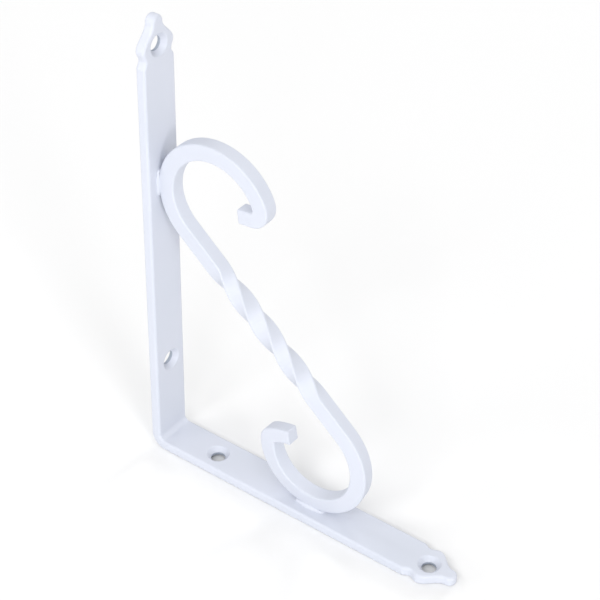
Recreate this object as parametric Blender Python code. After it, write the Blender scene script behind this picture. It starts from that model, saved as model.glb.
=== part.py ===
"""Wrought iron shelf bracket: a strap bent to an L and a twisted bar scroll welded into its corner.

Metres, +Z up. The wall leg stands along +Z at the -X end and the shelf leg lies on z = 0 along +X.
The origin is at the middle of the bracket's footprint.
"""

import math

import bmesh
import bpy
from mathutils import Matrix, Vector

# Strap
WALL_LEG = 0.191  # height of the wall leg, from the shelf face to its tip
SHELF_LEG = 0.138  # length of the shelf leg, from the wall face to its tip
STRAP_WIDTH = 0.0164
STRAP_THICKNESS = 0.0042
STRAP_EDGE = 0.0011  # rounding along the strap's edges
BEND_RADIUS = 0.0065  # outer radius of the corner
BEND_STEPS = 8

# Ornament at each end of the strap, measured back from the tip
TIP_LENGTH = 0.0029  # of the rounded tip
TIP_HALF_WIDTH = 0.0028
BULGE_AT = 0.0120  # where the ornament is as wide as the strap
NOTCH_AT = 0.0158
NOTCH_DEPTH = 0.0012
SHOULDER_AT = 0.0188  # where the strap's straight edges start
TIP_STEPS = 6
FLARE_STEPS = 9
NOTCH_STEPS = 4

# Screw holes, countersunk from the inner faces and relieved at the outer ones
HOLE_DIAMETER = 0.0056
COUNTERSINK_DIAMETER = 0.0090
COUNTERSINK_DEPTH = 0.0019
RELIEF_DIAMETER = 0.0086
RELIEF_DEPTH = 0.0011
# Place of each hole: (height above the shelf face or distance from the wall face, off the strap's middle)
WALL_TIP_HOLE = (0.1795, 0.0)
WALL_CORNER_HOLE = (0.0399, 0.0004)
SHELF_CORNER_HOLE = (0.0273, -0.0004)
SHELF_TIP_HOLE = (0.1265, -0.0004)
HOLE_SIDES = 24

# Scroll: a nearly square bar, its middle straight and twisted, each end curled and folded to a short tail
BAR_WIDTH = 0.0067  # in the scroll's plane
BAR_DEPTH = 0.0060  # across it
BAR_EDGE = 0.0007
BAR_SHIFT = -0.0005  # of the bar's middle line off the strap's
WELD_GAP = 0.0003  # between the scroll and the strap where the two are welded
LOWER_LIFT = 0.00025  # of the lower curl, whose rolled section stands taller
UPPER_WELD = 0.1240  # from the shelf face
LOWER_WELD = 0.0733  # from the wall face
CURL_RADIUS = 0.0216  # of the bar's middle line, where the curls touch the strap
# Each curl from the straight part to the folded tail: (radius of the middle line, turn in degrees)
UPPER_ARCS = ((CURL_RADIUS, 139.6), (0.0219, 67.3), (0.0047, 106.0))
LOWER_ARCS = ((CURL_RADIUS, 139.3), (0.0196, 90.0), (0.0038, 60.0), (0.020, 20.0))
UPPER_TAIL = 0.0055
LOWER_TAIL = 0.0017
TAPER_LENGTH = 0.016  # of each hammered end
UPPER_END = 0.88  # size of the section at the upper tail's end, as a share of the bar's
LOWER_END = 0.91
TWIST_TURNS = 1.0
TWIST_LENGTH = 0.0626
TWIST_EASE = 0.004  # length over which the twist starts and stops
TWIST_SHIFT = 0.0010  # of its middle, towards the lower curl
TWIST_STEP = 0.0018
ROLL = math.radians(-7)  # of the section in the lower curl, where the twist stops short of its whole turn
ROLL_FADE = 0.040  # length before the lower tail's end over which the roll goes back
ARC_CHORD = 0.0026  # longest step along a curl
ARC_STEP = math.radians(14)  # largest turn in one step

WHITE = (0.80, 0.81, 0.86, 1.0)

WALL_X = -SHELF_LEG / 2
HALF_WIDTH = STRAP_WIDTH / 2


def clear_scene():
    for obj in list(bpy.data.objects):
        bpy.data.objects.remove(obj, do_unlink=True)


def new_collection(name):
    collection = bpy.data.collections.new(name)
    bpy.context.scene.collection.children.link(collection)
    return collection


def painted_metal(name):
    material = bpy.data.materials.new(name)
    material.use_nodes = True
    shader = material.node_tree.nodes["Principled BSDF"]
    shader.inputs["Base Color"].default_value = WHITE
    shader.inputs["Roughness"].default_value = 0.42
    shader.inputs["Metallic"].default_value = 0.0
    return material


def mesh_from_curve(curve_object, name, collection):
    """Replaces a curve by the closed mesh it makes."""
    evaluated = curve_object.evaluated_get(bpy.context.evaluated_depsgraph_get())
    mesh = bpy.data.meshes.new_from_object(evaluated)
    mesh.name = name
    shape = bmesh.new()
    shape.from_mesh(mesh)
    bmesh.ops.remove_doubles(shape, verts=shape.verts, dist=1e-6)
    bmesh.ops.recalc_face_normals(shape, faces=shape.faces)
    shape.to_mesh(mesh)
    shape.free()
    mesh_object = bpy.data.objects.new(name, mesh)
    mesh_object.matrix_world = curve_object.matrix_world
    bpy.data.objects.remove(curve_object, do_unlink=True)
    collection.objects.link(mesh_object)
    return mesh_object


def ease(start, end, steps):
    """Points of a cosine curve from one (distance, half width) to the next, without the first."""
    points = []
    for index in range(1, steps + 1):
        share = index / steps
        rise = (1 - math.cos(math.pi * share)) / 2
        points.append((start[0] + (end[0] - start[0]) * share, start[1] + (end[1] - start[1]) * rise))
    return points


def end_ornament():
    """Half outline of a strap end as (distance from the tip, half width), from the tip's middle point."""
    tip = []
    for index in range(TIP_STEPS + 1):
        angle = math.pi / 2 * index / TIP_STEPS
        tip.append((TIP_LENGTH * (1 - math.cos(angle)), TIP_HALF_WIDTH * math.sin(angle)))
    bulge = (BULGE_AT, HALF_WIDTH)
    notch = (NOTCH_AT, HALF_WIDTH - NOTCH_DEPTH)
    shoulder = (SHOULDER_AT, HALF_WIDTH)
    flare = ease(tip[-1], bulge, FLARE_STEPS)
    return tip + flare + ease(bulge, notch, NOTCH_STEPS) + ease(notch, shoulder, NOTCH_STEPS)


def strap_blank(collection):
    """The strap before bending: x runs from the wall leg's tip to the shelf leg's, z through it."""
    bend_length = (BEND_RADIUS - STRAP_THICKNESS / 2) * math.pi / 2
    length = WALL_LEG + SHELF_LEG - 2 * BEND_RADIUS + bend_length
    half = end_ornament()
    upper = half + [(length - s, w) for s, w in reversed(half)]
    lower = [(x, -w) for x, w in reversed(upper[1:-1])]
    outline = upper + lower

    curve = bpy.data.curves.new("strap_blank", "CURVE")
    curve.dimensions = "2D"
    curve.fill_mode = "BOTH"
    curve.extrude = STRAP_THICKNESS / 2 - STRAP_EDGE
    curve.bevel_depth = STRAP_EDGE
    curve.bevel_resolution = 2
    curve.offset = -STRAP_EDGE
    spline = curve.splines.new("POLY")
    spline.points.add(len(outline) - 1)
    spline.use_cyclic_u = True
    for point, (x, y) in zip(spline.points, outline):
        point.co = (x, y, 0, 1)
    blank = bpy.data.objects.new("strap_blank", curve)
    collection.objects.link(blank)
    bpy.context.view_layer.update()
    return mesh_from_curve(blank, "strap", collection), bend_length


def bend_strap(strap, bend_length):
    """Turns the flat blank into the L: the outer face comes to the wall and the shelf."""
    bend_start = WALL_LEG - BEND_RADIUS
    shape = bmesh.new()
    shape.from_mesh(strap.data)
    bmesh.ops.dissolve_limit(shape, angle_limit=math.radians(0.5), verts=shape.verts, edges=shape.edges)
    for step in range(BEND_STEPS + 1):
        station = bend_start + bend_length * step / BEND_STEPS
        bmesh.ops.bisect_plane(
            shape,
            geom=shape.verts[:] + shape.edges[:] + shape.faces[:],
            dist=1e-6,
            plane_co=(station, 0, 0),
            plane_no=(1, 0, 0),
        )
    for vertex in shape.verts:
        along, across, through = vertex.co
        depth = through + STRAP_THICKNESS / 2
        turned = min(max((along - bend_start) / bend_length, 0.0), 1.0) * math.pi / 2
        radius = BEND_RADIUS - depth
        x = WALL_X + BEND_RADIUS - radius * math.cos(turned)
        z = BEND_RADIUS - radius * math.sin(turned)
        z += max(bend_start - along, 0.0)
        x += max(along - bend_start - bend_length, 0.0)
        vertex.co = (x, across, z)
    bmesh.ops.recalc_face_normals(shape, faces=shape.faces)
    shape.to_mesh(strap.data)
    shape.free()


def countersink_cutter(name, place, direction, collection):
    """A screw hole's shape, its mouth on the strap's inner face at place and its shank along direction."""
    beyond = 0.002
    mouth = COUNTERSINK_DIAMETER / 2
    shank = HOLE_DIAMETER / 2
    relief = RELIEF_DIAMETER / 2
    mouth_flare = (mouth - shank) * beyond / COUNTERSINK_DEPTH
    relief_flare = (relief - shank) * beyond / RELIEF_DEPTH
    shape = bmesh.new()
    profile = [
        (0.0, -beyond),
        (mouth + mouth_flare, -beyond),
        (shank, COUNTERSINK_DEPTH),
        (shank, STRAP_THICKNESS - RELIEF_DEPTH),
        (relief + relief_flare, STRAP_THICKNESS + beyond),
        (0.0, STRAP_THICKNESS + beyond),
    ]
    points = [shape.verts.new((radius, 0, depth)) for radius, depth in profile]
    edges = [shape.edges.new(pair) for pair in zip(points, points[1:])]
    bmesh.ops.spin(
        shape,
        geom=points + edges,
        cent=(0, 0, 0),
        axis=(0, 0, 1),
        angle=math.tau,
        steps=HOLE_SIDES,
        use_merge=True,
    )
    bmesh.ops.remove_doubles(shape, verts=shape.verts, dist=1e-6)
    bmesh.ops.recalc_face_normals(shape, faces=shape.faces)
    turn = Vector((0, 0, 1)).rotation_difference(Vector(direction)).to_matrix().to_4x4()
    bmesh.ops.transform(shape, matrix=Matrix.Translation(place) @ turn, verts=shape.verts)
    mesh = bpy.data.meshes.new(name)
    shape.to_mesh(mesh)
    shape.free()
    cutter = bpy.data.objects.new(name, mesh)
    cutter.hide_render = True
    cutter.display_type = "WIRE"
    collection.objects.link(cutter)
    return cutter


def wall_hole(height, across):
    """Middle of a hole's mouth in the wall leg, and the way the screw goes."""
    return (WALL_X + STRAP_THICKNESS, across, height), (-1, 0, 0)


def shelf_hole(along, across):
    """Middle of a hole's mouth in the shelf leg, and the way the screw goes."""
    return (WALL_X + along, across, STRAP_THICKNESS), (0, 0, -1)


def make_strap(parts, cutters):
    strap, bend_length = strap_blank(parts)
    bend_strap(strap, bend_length)
    holes = {
        "wall_tip_hole": wall_hole(*WALL_TIP_HOLE),
        "wall_corner_hole": wall_hole(*WALL_CORNER_HOLE),
        "shelf_corner_hole": shelf_hole(*SHELF_CORNER_HOLE),
        "shelf_tip_hole": shelf_hole(*SHELF_TIP_HOLE),
    }
    for name, (place, direction) in holes.items():
        cut = strap.modifiers.new(name, "BOOLEAN")
        cut.operation = "DIFFERENCE"
        cut.solver = "EXACT"
        cut.object = countersink_cutter(name, place, direction, cutters)
    strap.data.materials.append(painted_metal("strap_white"))
    return strap


def curled_end(start, heading, arcs, tail):
    """Middle line of one curl in the XZ plane: clockwise arcs from start, which is left out, and a tail."""
    points = []
    for radius, degrees in arcs:
        turn = math.radians(degrees)
        centre = start + radius * Vector((math.sin(heading), -math.cos(heading)))
        steps = math.ceil(max(turn * radius / ARC_CHORD, turn / ARC_STEP))
        for index in range(1, steps + 1):
            angle = heading - turn * index / steps
            points.append(centre + radius * Vector((-math.sin(angle), math.cos(angle))))
        start = points[-1]
        heading -= turn
    return points + [start + tail * Vector((math.cos(heading), math.sin(heading)))]


def distances_left(points):
    """Length of the line from each of its points to the last."""
    left = [0.0]
    for before, after in zip(reversed(points[:-1]), reversed(points)):
        left.append(left[-1] + (after - before).length)
    return left[::-1]


def smooth(share):
    """From 0 to 1 as share does, starting and stopping gently."""
    share = min(max(share, 0.0), 1.0)
    return share**2 * (3 - 2 * share)


def scroll_path():
    """Middle line of the scroll, from the upper tail down: (place in the XZ plane, section's turn, size)."""
    reach = STRAP_THICKNESS + WELD_GAP + BAR_WIDTH / 2 + CURL_RADIUS
    upper_centre = Vector((WALL_X + reach, UPPER_WELD))
    lower_centre = Vector((WALL_X + LOWER_WELD, reach + LOWER_LIFT))
    between = lower_centre - upper_centre
    straight = math.sqrt(between.length**2 - 4 * CURL_RADIUS**2)
    slope = math.atan2(between.y, between.x) + math.asin(2 * CURL_RADIUS / between.length)
    downwards = Vector((math.cos(slope), math.sin(slope)))
    middle = (upper_centre + lower_centre) / 2
    upper_end = middle - downwards * straight / 2
    lower_end = middle + downwards * straight / 2

    upper = curled_end(upper_end, slope + math.pi, UPPER_ARCS, UPPER_TAIL)
    lower = curled_end(lower_end, slope, LOWER_ARCS, LOWER_TAIL)
    path = [(upper_end, 0.0, 1.0)]
    for point, left in zip(upper, distances_left(upper)):
        path.insert(0, (point, 0.0, UPPER_END + (1 - UPPER_END) * smooth(left / TAPER_LENGTH)))
    count = math.ceil(TWIST_LENGTH / TWIST_STEP)
    for index in range(count + 1):
        along = TWIST_LENGTH * index / count
        offset = TWIST_SHIFT + along - TWIST_LENGTH / 2
        path.append((middle + downwards * offset, twist_at(along), 1.0))
    path.append((lower_end, math.tau * TWIST_TURNS + ROLL, 1.0))
    for point, left in zip(lower, distances_left(lower)):
        turn = math.tau * TWIST_TURNS + ROLL * smooth(left / ROLL_FADE)
        path.append((point, turn, LOWER_END + (1 - LOWER_END) * smooth(left / TAPER_LENGTH)))
    return path


def twist_at(along):
    """Turn of the bar's section at a distance into the twist, eased where the twist starts and stops."""
    full = math.tau * TWIST_TURNS + ROLL
    rate = full / (TWIST_LENGTH - TWIST_EASE)
    if along < TWIST_EASE:
        return rate * along**2 / (2 * TWIST_EASE)
    left = TWIST_LENGTH - along
    if left < TWIST_EASE:
        return full - rate * left**2 / (2 * TWIST_EASE)
    return rate * (along - TWIST_EASE / 2)


def bar_section(collection):
    """The bar's section with rounded corners, as the guide that the scroll's curve is swept with."""
    curve = bpy.data.curves.new("bar_section", "CURVE")
    curve.dimensions = "2D"
    curve.fill_mode = "NONE"
    spline = curve.splines.new("POLY")
    flat = Vector((BAR_WIDTH / 2 - BAR_EDGE, BAR_DEPTH / 2 - BAR_EDGE))
    points = []
    for number, (side, face) in enumerate(((1, 1), (-1, 1), (-1, -1), (1, -1))):
        for swing in (0.0, math.pi / 4, math.pi / 2):
            angle = number * math.pi / 2 + swing
            rounding = BAR_EDGE * Vector((math.cos(angle), math.sin(angle)))
            points.append(Vector((side * flat.x, face * flat.y)) + rounding)
    spline.points.add(len(points) - 1)
    spline.use_cyclic_u = True
    for point, place in zip(spline.points, points):
        point.co = (place.x, place.y, 0, 1)
    section = bpy.data.objects.new("bar_section", curve)
    section.hide_render = True
    section.display_type = "WIRE"
    collection.objects.link(section)
    return section


def make_scroll(parts, cutters):
    path = scroll_path()
    curve = bpy.data.curves.new("scroll", "CURVE")
    curve.dimensions = "3D"
    curve.twist_mode = "Z_UP"
    curve.bevel_mode = "OBJECT"
    curve.bevel_object = bar_section(cutters)
    curve.use_fill_caps = True
    spline = curve.splines.new("POLY")
    spline.points.add(len(path) - 1)
    for point, (place, turn, size) in zip(spline.points, path):
        point.co = (place.x, -place.y, BAR_SHIFT - (1 - size) * BAR_DEPTH / 2, 1)
        point.tilt = turn
        point.radius = size
    bar = bpy.data.objects.new("scroll_curve", curve)
    bar.rotation_euler = (-math.pi / 2, 0, 0)
    parts.objects.link(bar)
    bpy.context.view_layer.update()
    scroll = mesh_from_curve(bar, "scroll", parts)
    scroll.data.materials.append(painted_metal("scroll_white"))
    return scroll


def shade(obj, angle):
    obj.data.shade_smooth()
    obj.data.set_sharp_from_angle(angle=angle)


def main():
    clear_scene()
    parts = new_collection("shelf_bracket")
    cutters = new_collection("cutters")
    cutters.hide_render = True
    shade(make_strap(parts, cutters), math.radians(30))
    shade(make_scroll(parts, cutters), math.radians(40))


main()
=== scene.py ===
import math

import bmesh
import bpy
from mathutils import Matrix, Vector


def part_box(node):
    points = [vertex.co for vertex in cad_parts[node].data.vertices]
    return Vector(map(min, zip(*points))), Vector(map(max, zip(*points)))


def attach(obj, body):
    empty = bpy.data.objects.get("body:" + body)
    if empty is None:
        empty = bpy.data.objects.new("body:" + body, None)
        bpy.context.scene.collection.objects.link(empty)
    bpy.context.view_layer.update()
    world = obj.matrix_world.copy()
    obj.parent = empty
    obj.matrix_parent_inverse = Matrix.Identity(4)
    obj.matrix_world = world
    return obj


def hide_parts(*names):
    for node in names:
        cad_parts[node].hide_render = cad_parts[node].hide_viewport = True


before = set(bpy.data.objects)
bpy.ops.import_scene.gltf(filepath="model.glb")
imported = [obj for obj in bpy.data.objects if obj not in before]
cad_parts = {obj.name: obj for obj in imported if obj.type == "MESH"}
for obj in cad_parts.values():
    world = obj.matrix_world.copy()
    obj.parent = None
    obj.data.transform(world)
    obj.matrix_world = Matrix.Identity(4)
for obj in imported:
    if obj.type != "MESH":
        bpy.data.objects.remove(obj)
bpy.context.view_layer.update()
perMetre = 1000  # pieces are drawn in millimetres and scaled when they are finished
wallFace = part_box("strap")[0].x * perMetre  # where the strap's outer face meets the wall
print("frame loaded")


# Shared by every piece
samePoint = 0.001  # mm within which two points are one
mixFirst, mixSecond, mixResult = 6, 7, 2  # the colour sockets of a Mix node


def linearColour(code):  # sRGB hex to the linear values that shaders take
    parts = [int(code[i:i + 2], 16) / 255 for i in (0, 2, 4)]
    return [p / 12.92 if p <= 0.04045 else ((p + 0.055) / 1.055) ** 2.4 for p in parts] + [1.0]


# settings name a socket or a property of the node, and links name a socket and what feeds it
def addNode(tree, kind, links=None, **settings):
    node = tree.nodes.new(kind)
    for name, value in settings.items():
        socket = node.inputs.get(name.replace("_", " ").title())
        if socket is None:
            setattr(node, name, value)
        else:
            socket.default_value = value
    for name, source in (links or {}).items():
        tree.links.new(source, node.inputs[name])
    return node


# millimetres to metres, normals, material, and the body that the piece rides on
def finishPiece(shape, name, finish, body="root"):
    bmesh.ops.scale(shape, vec=(1 / perMetre, 1 / perMetre, 1 / perMetre), verts=shape.verts)
    bmesh.ops.recalc_face_normals(shape, faces=shape.faces)
    mesh = bpy.data.meshes.new(name)
    shape.to_mesh(mesh)
    shape.free()
    mesh.shade_smooth()
    mesh.materials.append(finish)
    piece = bpy.data.objects.new(name, mesh)
    bpy.context.scene.collection.objects.link(piece)
    if body:
        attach(piece, body)
    return piece


def nextRing(shape, cap, first):  # draws a cap out to a new ring, and only the first cap stays behind
    moved = bmesh.ops.extrude_face_region(shape, geom=[cap])["geom"]
    if not first:
        bmesh.ops.delete(shape, geom=[cap], context="FACES_ONLY")
    return next(f for f in moved if isinstance(f, bmesh.types.BMFace))


# White polyester powder coat, sprayed on iron and baked: satin, with the fine dimples of orange peel
powderCoat = {
    "colour": "CED1DC",
    "shade": "C7CCD7",
    "boreShade": "9FA7B4",  # painted shade: a darker colour on the screw holes' bores, standing in for the shade inside them
    "ior": 1.5,
    "roughness": (0.56, 0.64),  # drifts with the film's thickness, as the colour does
    "cloudWidth": 30.0,  # mm across that drift
    "peelWidth": 1.4,  # mm between dimples
    "peelDepth": 0.012,  # mm
}


def powderCoatFinish(name):
    material = bpy.data.materials.new(name)
    material.use_nodes = True
    tree = material.node_tree
    shader = tree.nodes["Principled BSDF"]
    shader.inputs["IOR"].default_value = powderCoat["ior"]
    place = addNode(tree, "ShaderNodeTexCoord").outputs["Object"]
    cloudScale, peelScale = perMetre / powderCoat["cloudWidth"], perMetre / powderCoat["peelWidth"]
    clouds = addNode(tree, "ShaderNodeTexNoise", {"Vector": place}, scale=cloudScale, detail=2.0)
    cloud = clouds.outputs["Fac"]
    blend = addNode(tree, "ShaderNodeMix", {"Factor": cloud}, data_type="RGBA")
    blend.inputs[mixFirst].default_value = linearColour(powderCoat["colour"])
    blend.inputs[mixSecond].default_value = linearColour(powderCoat["shade"])
    # painted shade: the marked bore faces take the darker colour in place of the shade inside the holes
    boreShade = addNode(tree, "ShaderNodeAttribute", attribute_name="paintedBoreShade").outputs["Fac"]
    withBoreShade = addNode(tree, "ShaderNodeMix", {"Factor": boreShade}, data_type="RGBA")
    withBoreShade.inputs[mixSecond].default_value = linearColour(powderCoat["boreShade"])
    tree.links.new(blend.outputs[mixResult], withBoreShade.inputs[mixFirst])
    tree.links.new(withBoreShade.outputs[mixResult], shader.inputs["Base Color"])
    glossy, dull = powderCoat["roughness"]
    gloss = addNode(tree, "ShaderNodeMapRange", {"Value": cloud}, to_min=glossy, to_max=dull)
    tree.links.new(gloss.outputs["Result"], shader.inputs["Roughness"])
    peel = addNode(tree, "ShaderNodeTexNoise", {"Vector": place}, scale=peelScale, detail=1.0)
    depth = powderCoat["peelDepth"] / perMetre
    bump = addNode(tree, "ShaderNodeBump", {"Height": peel.outputs["Fac"]}, strength=1.0, distance=depth)
    tree.links.new(bump.outputs["Normal"], shader.inputs["Normal"])
    return material


paint = powderCoatFinish("powderCoatWhite")
print("paint mixed")


# The strap: flat bar with shaped ends, bent to an L
strap = {
    "wallLeg": 191.0,
    "shelfLeg": 138.0,
    "width": 16.4,
    "thickness": 4.2,
    "edge": 1.1,  # rounding of the rolled edges
    "edgeSegments": 5,
    "bend": 6.5,  # outer radius of the corner
    "bendSteps": 24,
    "tip": (2.9, 2.8),  # length and half width of the rounded tip
    "tipSteps": 10,
    "bulge": 12.0,  # from the tip, as the next two
    "bulgeSteps": 18,
    "notch": (15.8, 1.2),  # and its depth
    "shoulder": 18.8,
    "notchSteps": 8,  # on each side of the notch
    "hole": 5.6,
    "holeSteps": 64,
    "sink": (9.0, 1.9),  # width and depth of the countersink at the inner face
    "relief": (8.6, 1.1),  # and of the clearance at the outer one
    "cutPast": 3.0,  # how far the cutters stand out of the strap
    "wallHoles": ((39.9, 0.4), (179.5, 0.0)),  # up from the shelf face, and off the strap's middle
    "shelfHoles": ((27.3, -0.4), (126.5, -0.4)),  # out from the wall face, and off the strap's middle
    "lip": 0.3,  # paint rounds the countersinks' mouths
    "lipSegments": 3,
    "lipAngle": 45,  # degrees, so the bores' own edges stay crisp
}


def ease(shape, last, end, steps):  # a soft S between two widths, as the hammered outline runs
    start = last.co.copy()
    for i in range(1, steps + 1):
        share = i / steps
        rise = (1 - math.cos(math.pi * share)) / 2
        verts = bmesh.ops.extrude_vert_indiv(shape, verts=[last])["verts"]
        verts[0].co = (start.x + (end[0] - start.x) * share, start.y + (end[1] - start.y) * rise, 0)
        last = verts[0]
    return last


def strapBlank():  # flat along x, from a quarter of its outline
    half = strap["width"] / 2
    arc = (strap["bend"] - strap["thickness"] / 2) * math.pi / 2
    length = strap["wallLeg"] + strap["shelfLeg"] - 2 * strap["bend"] + arc
    shape = bmesh.new()
    last = shape.verts.new((0, 0, 0))
    bmesh.ops.spin(
        shape, geom=[last], cent=(1, 0, 0), axis=(0, 0, -1), angle=math.pi / 2, steps=strap["tipSteps"])
    bmesh.ops.scale(shape, vec=(strap["tip"][0], strap["tip"][1], 1), verts=shape.verts)
    last = max(shape.verts, key=lambda v: v.co.x)
    last = ease(shape, last, (strap["bulge"], half), strap["bulgeSteps"])
    last = ease(shape, last, (strap["notch"][0], half - strap["notch"][1]), strap["notchSteps"])
    last = ease(shape, last, (strap["shoulder"], half), strap["notchSteps"])
    verts = bmesh.ops.extrude_vert_indiv(shape, verts=[last])["verts"]
    verts[0].co.x = length / 2
    bmesh.ops.translate(shape, vec=(-length / 2, 0, 0), verts=shape.verts)
    for axis in "XY":
        outline = shape.verts[:] + shape.edges[:]
        bmesh.ops.mirror(shape, geom=outline, merge_dist=samePoint, axis=axis)
    bmesh.ops.translate(shape, vec=(length / 2, 0, 0), verts=shape.verts)
    bmesh.ops.contextual_create(shape, geom=shape.edges[:])
    raised = bmesh.ops.extrude_face_region(shape, geom=shape.faces[:])["geom"]
    raised = [v for v in raised if isinstance(v, bmesh.types.BMVert)]
    bmesh.ops.translate(shape, vec=(0, 0, strap["thickness"]), verts=raised)
    bmesh.ops.recalc_face_normals(shape, faces=shape.faces)
    rim = [e for e in shape.edges if any(len(f.verts) > 4 for f in e.link_faces)]  # round both flat faces
    bmesh.ops.bevel(
        shape, geom=rim, offset=strap["edge"], segments=strap["edgeSegments"], profile=0.5,
        affect="EDGES", material=-1)
    return shape, arc


def bendStrap(shape, arc):  # the blank's lower face becomes the wall and shelf faces
    start = strap["wallLeg"] - strap["bend"]
    for i in range(strap["bendSteps"] + 1):
        everything = shape.verts[:] + shape.edges[:] + shape.faces[:]
        cut = (start + arc * i / strap["bendSteps"], 0, 0)
        bmesh.ops.bisect_plane(shape, geom=everything, dist=samePoint, plane_co=cut, plane_no=(1, 0, 0))
    for v in shape.verts:
        along, depth = v.co.x, v.co.z
        turn = min(max((along - start) / arc, 0), 1) * math.pi / 2
        radius = strap["bend"] - depth
        v.co.x = wallFace + strap["bend"] - radius * math.cos(turn) + max(along - start - arc, 0)
        v.co.z = strap["bend"] - radius * math.sin(turn) + max(start - along, 0)


def holePlaces():  # each hole's mouth, with the local z out along its axis
    inner = strap["thickness"]
    turn = Matrix.Rotation(math.pi / 2, 4, "Y")
    places = [Matrix.Translation((wallFace + along, across, inner)) for along, across in strap["shelfHoles"]]
    for up, across in strap["wallHoles"]:
        places.append(Matrix.Translation((wallFace + inner, across, up)) @ turn)
    return places


def holeCutters():  # four screw holes in one mesh, each spun round its axis
    shape = bmesh.new()
    bore, thickness, past = strap["hole"] / 2, strap["thickness"], strap["cutPast"]
    (sink, sinkDepth), (relief, reliefDepth) = strap["sink"], strap["relief"]
    mouth = sink / 2 + (sink / 2 - bore) * past / sinkDepth
    back = relief / 2 + (relief / 2 - bore) * past / reliefDepth
    profile = [(0, past), (mouth, past), (bore, -sinkDepth)]
    profile += [(bore, reliefDepth - thickness), (back, -thickness - past), (0, -thickness - past)]
    for place in holePlaces():
        before = set(shape.verts)
        verts = [shape.verts.new((r, 0, z)) for r, z in profile]
        edges = [shape.edges.new(pair) for pair in zip(verts, verts[1:])]
        bmesh.ops.spin(
            shape, geom=verts + edges, cent=(0, 0, 0), axis=(0, 0, 1), angle=math.tau,
            steps=strap["holeSteps"], use_merge=True)
        new = [v for v in shape.verts if v not in before]
        bmesh.ops.remove_doubles(shape, verts=new, dist=samePoint)
        new = [v for v in shape.verts if v not in before]
        bmesh.ops.transform(shape, matrix=place, verts=new)
    return finishPiece(shape, "holeCutters", paint, body=None)


def cutHoles(piece):
    cutters = holeCutters()
    cut = piece.modifiers.new("holes", "BOOLEAN")
    cut.operation = "DIFFERENCE"
    cut.solver = "EXACT"
    cut.object = cutters
    ready = piece.evaluated_get(bpy.context.evaluated_depsgraph_get())
    holed = bpy.data.meshes.new_from_object(ready)
    piece.modifiers.clear()
    piece.data = holed
    bpy.data.objects.remove(cutters)


def paintBoreShade(piece):  # marks the faces inside the holes below the countersinks, where painted shade darkens the bores
    boreShade = piece.data.attributes.new("paintedBoreShade", "FLOAT", "FACE")
    for place in holePlaces():
        seen = place.inverted()
        for face in piece.data.polygons:
            centre = seen @ (face.center * perMetre)
            below = -strap["thickness"] < centre.z < -strap["sink"][1]
            if below and centre.xy.length < strap["relief"][0] / 2:
                boreShade.data[face.index].value = 1.0


shape, arc = strapBlank()
bendStrap(shape, arc)
strapPiece = finishPiece(shape, "strapPainted", paint)
cutHoles(strapPiece)
paintBoreShade(strapPiece)
lip = strapPiece.modifiers.new("lip", "BEVEL")
lip.width = strap["lip"] / perMetre
lip.segments = strap["lipSegments"]
lip.limit_method = "ANGLE"
lip.angle_limit = math.radians(strap["lipAngle"])
flat = strapPiece.modifiers.new("flat", "WEIGHTED_NORMAL")
flat.keep_sharp = True
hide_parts("strap")
print("strap bent and drilled")


# The scroll: a nearly square bar, cold twisted one turn, with a curl and a folded tail at each end
scroll = {
    "width": 6.7,  # in the scroll's plane
    "depth": 6.0,  # across it
    "edge": 0.7,
    "edgeSegments": 4,
    "shift": -0.5,  # of the bar's middle off the strap's
    "gap": 0.3,  # to the strap, where the weld fills it
    "upperWeld": 124.0,  # above the shelf face
    "lowerWeld": 73.3,  # out from the wall face
    "lift": 0.25,  # of the lower curl, whose rolled section stands taller
    "curl": 21.6,  # radius of the bar's middle line where it touches the strap
    "upper": ((21.6, 139.6), (21.9, 67.3), (4.7, 106.0)),  # radius and turn, from the straight part out
    "lower": ((21.6, 139.3), (19.6, 90.0), (3.8, 60.0), (20.0, 20.0)),
    "upperTail": 5.5,
    "lowerTail": 1.7,
    "tailSteps": 4,
    "taper": 16.0,  # length of each hammered end
    "upperEnd": 0.88,  # size of the section where the tail ends
    "lowerEnd": 0.91,
    "endRound": 1.1,  # rounding of the tails' cut ends
    "endSegments": 3,
    "endAngle": 60,  # degrees, so only those ends are rounded
    "roll": -7.0,  # degrees by which the twist stops short of its turn, left in the lower curl
    "rollFade": 40.0,  # mm before the lower tail's end over which it goes back
    "twist": 62.6,  # length
    "twistEase": 4.0,  # length of its gentle start and stop
    "twistShift": 1.0,  # towards the lower curl
    "step": 1.0,  # mm between rings along the bar
    "turnStep": 5.0,  # degrees between rings round a tight bend
}


def curledEnd(place, heading, arcs, tail):  # (place, heading) from the straight part out to the tail's end
    stations = []
    for radius, degrees in arcs:
        turn = math.radians(degrees)
        centre = place + radius * Vector((math.sin(heading), -math.cos(heading)))
        steps = math.ceil(max(radius * turn / scroll["step"], degrees / scroll["turnStep"]))
        for i in range(1, steps + 1):
            angle = heading - turn * i / steps
            stations.append((centre + radius * Vector((-math.sin(angle), math.cos(angle))), angle))
        place, heading = stations[-1]
    onward = Vector((math.cos(heading), math.sin(heading)))
    for i in range(1, scroll["tailSteps"] + 1):
        stations.append((place + tail * i / scroll["tailSteps"] * onward, heading))
    return stations


def twistAt(along):  # a steady twist, eased in and out
    full = math.tau + math.radians(scroll["roll"])
    rate = full / (scroll["twist"] - scroll["twistEase"])
    left = scroll["twist"] - along
    if along < scroll["twistEase"]:
        return rate * along ** 2 / (2 * scroll["twistEase"])
    if left < scroll["twistEase"]:
        return full - rate * left ** 2 / (2 * scroll["twistEase"])
    return rate * (along - scroll["twistEase"] / 2)


def easeIn(share):  # from 0 to 1 with a gentle start and stop
    share = min(max(share, 0), 1)
    return share ** 2 * (3 - 2 * share)


def leftAlong(stations):  # from each station to the last one
    left = [0.0]
    for after, before in zip(stations[::-1], stations[-2::-1]):
        left.append(left[-1] + (after[0] - before[0]).length)
    return left[::-1]


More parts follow.
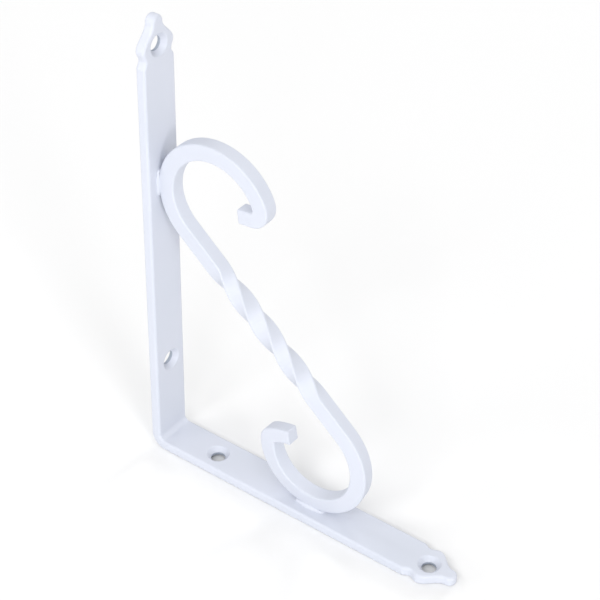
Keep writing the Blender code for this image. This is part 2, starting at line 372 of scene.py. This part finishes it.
def barStations():  # (place, heading, twist, size) from the upper tail down to the lower one
    reach = strap["thickness"] + scroll["gap"] + scroll["width"] / 2 + scroll["curl"]
    top = Vector((wallFace + reach, scroll["upperWeld"]))
    bottom = Vector((wallFace + scroll["lowerWeld"], reach + scroll["lift"]))
    between = bottom - top
    slope = math.atan2(between.y, between.x) + math.asin(2 * scroll["curl"] / between.length)
    straight = math.sqrt(between.length ** 2 - 4 * scroll["curl"] ** 2)
    down = Vector((math.cos(slope), math.sin(slope)))
    middle = (top + bottom) / 2
    upper = curledEnd(middle - down * straight / 2, slope + math.pi, scroll["upper"], scroll["upperTail"])
    lower = curledEnd(middle + down * straight / 2, slope, scroll["lower"], scroll["lowerTail"])
    stations = []
    for (place, heading), left in zip(upper, leftAlong(upper)):
        size = scroll["upperEnd"] + (1 - scroll["upperEnd"]) * easeIn(left / scroll["taper"])
        stations.insert(0, (place, heading - math.pi, 0.0, size))
    stations.append((middle - down * straight / 2, slope, 0.0, 1.0))
    steps = math.ceil(scroll["twist"] / scroll["step"])
    for i in range(steps + 1):
        along = scroll["twist"] * i / steps
        place = middle + down * (scroll["twistShift"] + along - scroll["twist"] / 2)
        stations.append((place, slope, twistAt(along), 1.0))
    stations.append((middle + down * straight / 2, slope, twistAt(scroll["twist"]), 1.0))
    for (place, heading), left in zip(lower, leftAlong(lower)):
        size = scroll["lowerEnd"] + (1 - scroll["lowerEnd"]) * easeIn(left / scroll["taper"])
        roll = math.radians(scroll["roll"]) * easeIn(left / scroll["rollFade"])
        stations.append((place, heading, math.tau + roll, size))
    return stations


def stationMatrix(station):  # local x runs along the bar; a thinner section keeps its front in line
    place, heading, twist, size = station
    turn = Matrix.Rotation(-heading, 4, "Y") @ Matrix.Rotation(twist, 4, "X")
    across = scroll["shift"] - (1 - size) * scroll["depth"] / 2
    return Matrix.Translation((place.x, across, place.y)) @ turn @ Matrix.Diagonal((1, size, size, 1))


def barShape():  # a rounded square across x, drawn through the stations
    shape = bmesh.new()
    bmesh.ops.create_circle(shape, segments=4, radius=math.sqrt(2), cap_ends=True)
    bmesh.ops.rotate(shape, cent=(0, 0, 0), matrix=Matrix.Rotation(math.pi / 4, 3, "Z"), verts=shape.verts)
    bmesh.ops.rotate(shape, cent=(0, 0, 0), matrix=Matrix.Rotation(math.pi / 2, 3, "Y"), verts=shape.verts)
    bmesh.ops.scale(shape, vec=(1, scroll["depth"] / 2, scroll["width"] / 2), verts=shape.verts)
    bmesh.ops.bevel(
        shape, geom=shape.verts[:], offset=scroll["edge"], offset_type="OFFSET",
        segments=scroll["edgeSegments"], profile=0.5, affect="VERTICES", material=-1)
    stations = barStations()
    bmesh.ops.transform(shape, matrix=stationMatrix(stations[0]), verts=shape.verts)
    cap = next(iter(shape.faces))
    for i, (last, station) in enumerate(zip(stations, stations[1:])):
        cap = nextRing(shape, cap, i == 0)
        step = stationMatrix(station) @ stationMatrix(last).inverted()
        bmesh.ops.transform(shape, matrix=step, verts=cap.verts)
    return shape


scrollPiece = finishPiece(barShape(), "scrollPainted", paint)
ends = scrollPiece.modifiers.new("ends", "BEVEL")
ends.width = scroll["endRound"] / perMetre
ends.segments = scroll["endSegments"]
ends.limit_method = "ANGLE"
ends.angle_limit = math.radians(scroll["endAngle"])
flat = scrollPiece.modifiers.new("flat", "WEIGHTED_NORMAL")
flat.keep_sharp = True
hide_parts("scroll")
print("scroll twisted and curled")


# The welds: iron run in between curl and strap and dressed to a hollow fillet, under the same paint
weld = {
    "corner": 1.2,
    "cornerSteps": 8,
    "sideSteps": 24,
    "endSteps": 8,
    "hem": 0.7,  # how far it runs out on the strap all round
    "rise": 1.6,  # how far it climbs the bar's flanks
    "overlap": 0.1,  # how far it runs into the bar where it doesn't climb
    "rings": 10,
    "footShare": 0.85,  # of a quarter circle, where the hollow starts on the strap
    "topShare": 0.13,  # and where it ends on the bar
    "sunk": 0.08,  # the whole hollow lies this much lower
    "buried": 0.4,  # its underside, below the strap's face
    "sharpAngle": 50,  # degrees
}
weldUpper = {
    "halfLength": 5.3,
    "front": -3.4,
    "back": 2.4,
    "lean": 0.0,  # how fast the bar's underside rises from front to back
    "foot": 0.5,  # how much further than the hem it runs out beside the bar
}
weldLower = {
    "halfLength": 6.4,
    "front": -3.0,
    "back": 2.7,
    "lean": 0.12,
    "foot": 1.3,
}


def weldOutline(joint):  # round the contact, as places with their outward directions
    corner, bends = weld["corner"], weld["cornerSteps"]
    x, y = joint["halfLength"] - corner, (joint["back"] - joint["front"]) / 2 - corner
    corners = [Vector((x, y)), Vector((-x, y)), Vector((-x, -y)), Vector((x, -y))]
    points = []
    for i, centre in enumerate(corners):
        for j in range(bends):
            angle = (i + j / bends) * math.pi / 2
            out = Vector((math.cos(angle), math.sin(angle)))
            points.append((centre + corner * out, out))
        out = Vector((math.cos((i + 1) * math.pi / 2), math.sin((i + 1) * math.pi / 2)))
        steps = weld["endSteps"] if i % 2 else weld["sideSteps"]
        for j in range(steps):
            points.append((centre.lerp(corners[(i + 1) % 4], j / steps) + corner * out, out))
    return points


def weldShape(joint):  # x along the strap, y across it, z off its face, the contact at x = 0
    outline = weldOutline(joint)
    outward = {(round(place.x, 3), round(place.y, 3)): out for place, out in outline}
    shape = bmesh.new()
    cap = shape.faces.new([shape.verts.new((place.x, place.y, 0)) for place, out in outline])
    for i in range(weld["rings"] + 1):
        cap = nextRing(shape, cap, i == 0)
        bmesh.ops.translate(shape, vec=(0, 0, 1), verts=cap.verts)
    outer = scroll["curl"] + scroll["width"] / 2
    for v in shape.verts:  # z still counts the rings: 0 is the underside, the hollow is 1 and up
        x, y, ring = v.co
        out = outward[round(x, 3), round(y, 3)]
        full = math.cos(math.pi / 2 * x / joint["halfLength"]) ** 2  # fades towards the weld's ends
        across = y + (joint["front"] + joint["back"]) / 2
        under = scroll["gap"] + outer - math.sqrt(outer ** 2 - x ** 2)
        under += joint["lean"] * (across - joint["front"])
        height = under + weld["overlap"] + weld["rise"] * full
        spread = weld["hem"] + joint["foot"] * full * abs(out.y)
        along = max(ring - 1, 0) / weld["rings"]
        share = math.pi / 2 * (weld["footShare"] + (weld["topShare"] - weld["footShare"]) * along)
        rise = height * (1 - math.sin(share)) - weld["sunk"] if ring > 0.5 else -weld["buried"]
        reach = spread * (1 - math.cos(share))
        v.co = (x + out.x * reach, across + out.y * reach, rise)
    return shape


def makeWeld(name, place, joint):
    shape = weldShape(joint)
    bmesh.ops.transform(shape, matrix=place, verts=shape.verts)
    piece = finishPiece(shape, name, paint)
    piece.data.set_sharp_from_angle(angle=math.radians(weld["sharpAngle"]))


onWall = Matrix.Translation((wallFace + strap["thickness"], 0, scroll["upperWeld"]))
onShelf = Matrix.Translation((wallFace + scroll["lowerWeld"], 0, strap["thickness"]))
makeWeld("weldUpper", onWall @ Matrix.Rotation(math.pi / 2, 4, "Y"), weldUpper)
makeWeld("weldLower", onShelf, weldLower)
print("welds filled")


# The studio: pale floor, soft lamps all round, and the camera
studio = {
    "floorColour": "EAEAEA",
    "floorSize": 8.0,
    "floorRoughness": 0.9,
    "floorShine": 0.1,
    "surround": 0.55,
    "lampSize": 0.5,
    "lampDistance": 1.8,
    "aim": (0, 0, 0.08),
    "lamps": {  # degrees round from the front, degrees up, watts
        "front": (0, 40, 4.9),
        "frontRight": (20, 40, 4.2),
        "lowFrontRight": (30, 15, 4.7),
        "lowRight": (60, 15, 8.8),
        "right": (60, 40, 1.7),
        "highRight": (60, 65, 2.1),
        "lowFrontLeft": (-30, 15, 2.6),
        "frontLeft": (-45, 40, 2.8),
        "left": (-90, 40, 4.8),
        "backLeft": (-150, 40, 2.7),
        "back": (180, 20, 8.5),
    },
}
view = {
    "place": (0.32129, -0.44435, 0.52409),
    "turn": (52.2469, -0.6721, 36.6804),
    "lens": 118.2,
    "sensor": 36,
    "clip": (0.05, 50),
}


def addFloor():
    shape = bmesh.new()
    bmesh.ops.create_grid(shape, x_segments=1, y_segments=1, size=studio["floorSize"] / 2 * perMetre)
    finish = bpy.data.materials.new("matteFloor")
    finish.use_nodes = True
    shader = finish.node_tree.nodes["Principled BSDF"]
    shader.inputs["Base Color"].default_value = linearColour(studio["floorColour"])
    shader.inputs["Roughness"].default_value = studio["floorRoughness"]
    shader.inputs["Specular IOR Level"].default_value = studio["floorShine"]
    floor = finishPiece(shape, "floor", finish, body=None)


def addLamp(name, around, up, power):
    data = bpy.data.lights.new(name, "AREA")
    data.shape = "DISK"
    data.size = studio["lampSize"]
    data.energy = power
    lamp = bpy.data.objects.new(name, data)
    around, up = math.radians(around), math.radians(up)
    away = Vector((math.sin(around) * math.cos(up), -math.cos(around) * math.cos(up), math.sin(up)))
    lamp.location = Vector(studio["aim"]) + away * studio["lampDistance"]
    lamp.rotation_euler = away.to_track_quat("Z", "Y").to_euler()
    bpy.context.scene.collection.objects.link(lamp)


def addSurround():
    world = bpy.data.worlds.new("surround")
    world.use_nodes = True
    background = world.node_tree.nodes["Background"]
    background.inputs["Color"].default_value = (1, 1, 1, 1)
    background.inputs["Strength"].default_value = studio["surround"]
    bpy.context.scene.world = world


def addCamera():
    data = bpy.data.cameras.new("camera")
    data.lens = view["lens"]
    data.sensor_width = view["sensor"]
    data.clip_start, data.clip_end = view["clip"]
    camera = bpy.data.objects.new("camera", data)
    camera.location = view["place"]
    camera.rotation_euler = [math.radians(t) for t in view["turn"]]
    bpy.context.scene.collection.objects.link(camera)
    bpy.context.scene.camera = camera


addFloor()
for name, lamp in studio["lamps"].items():
    addLamp(name, *lamp)
addSurround()
addCamera()
bpy.context.scene.view_settings.view_transform = "Standard"
print("studio lit")
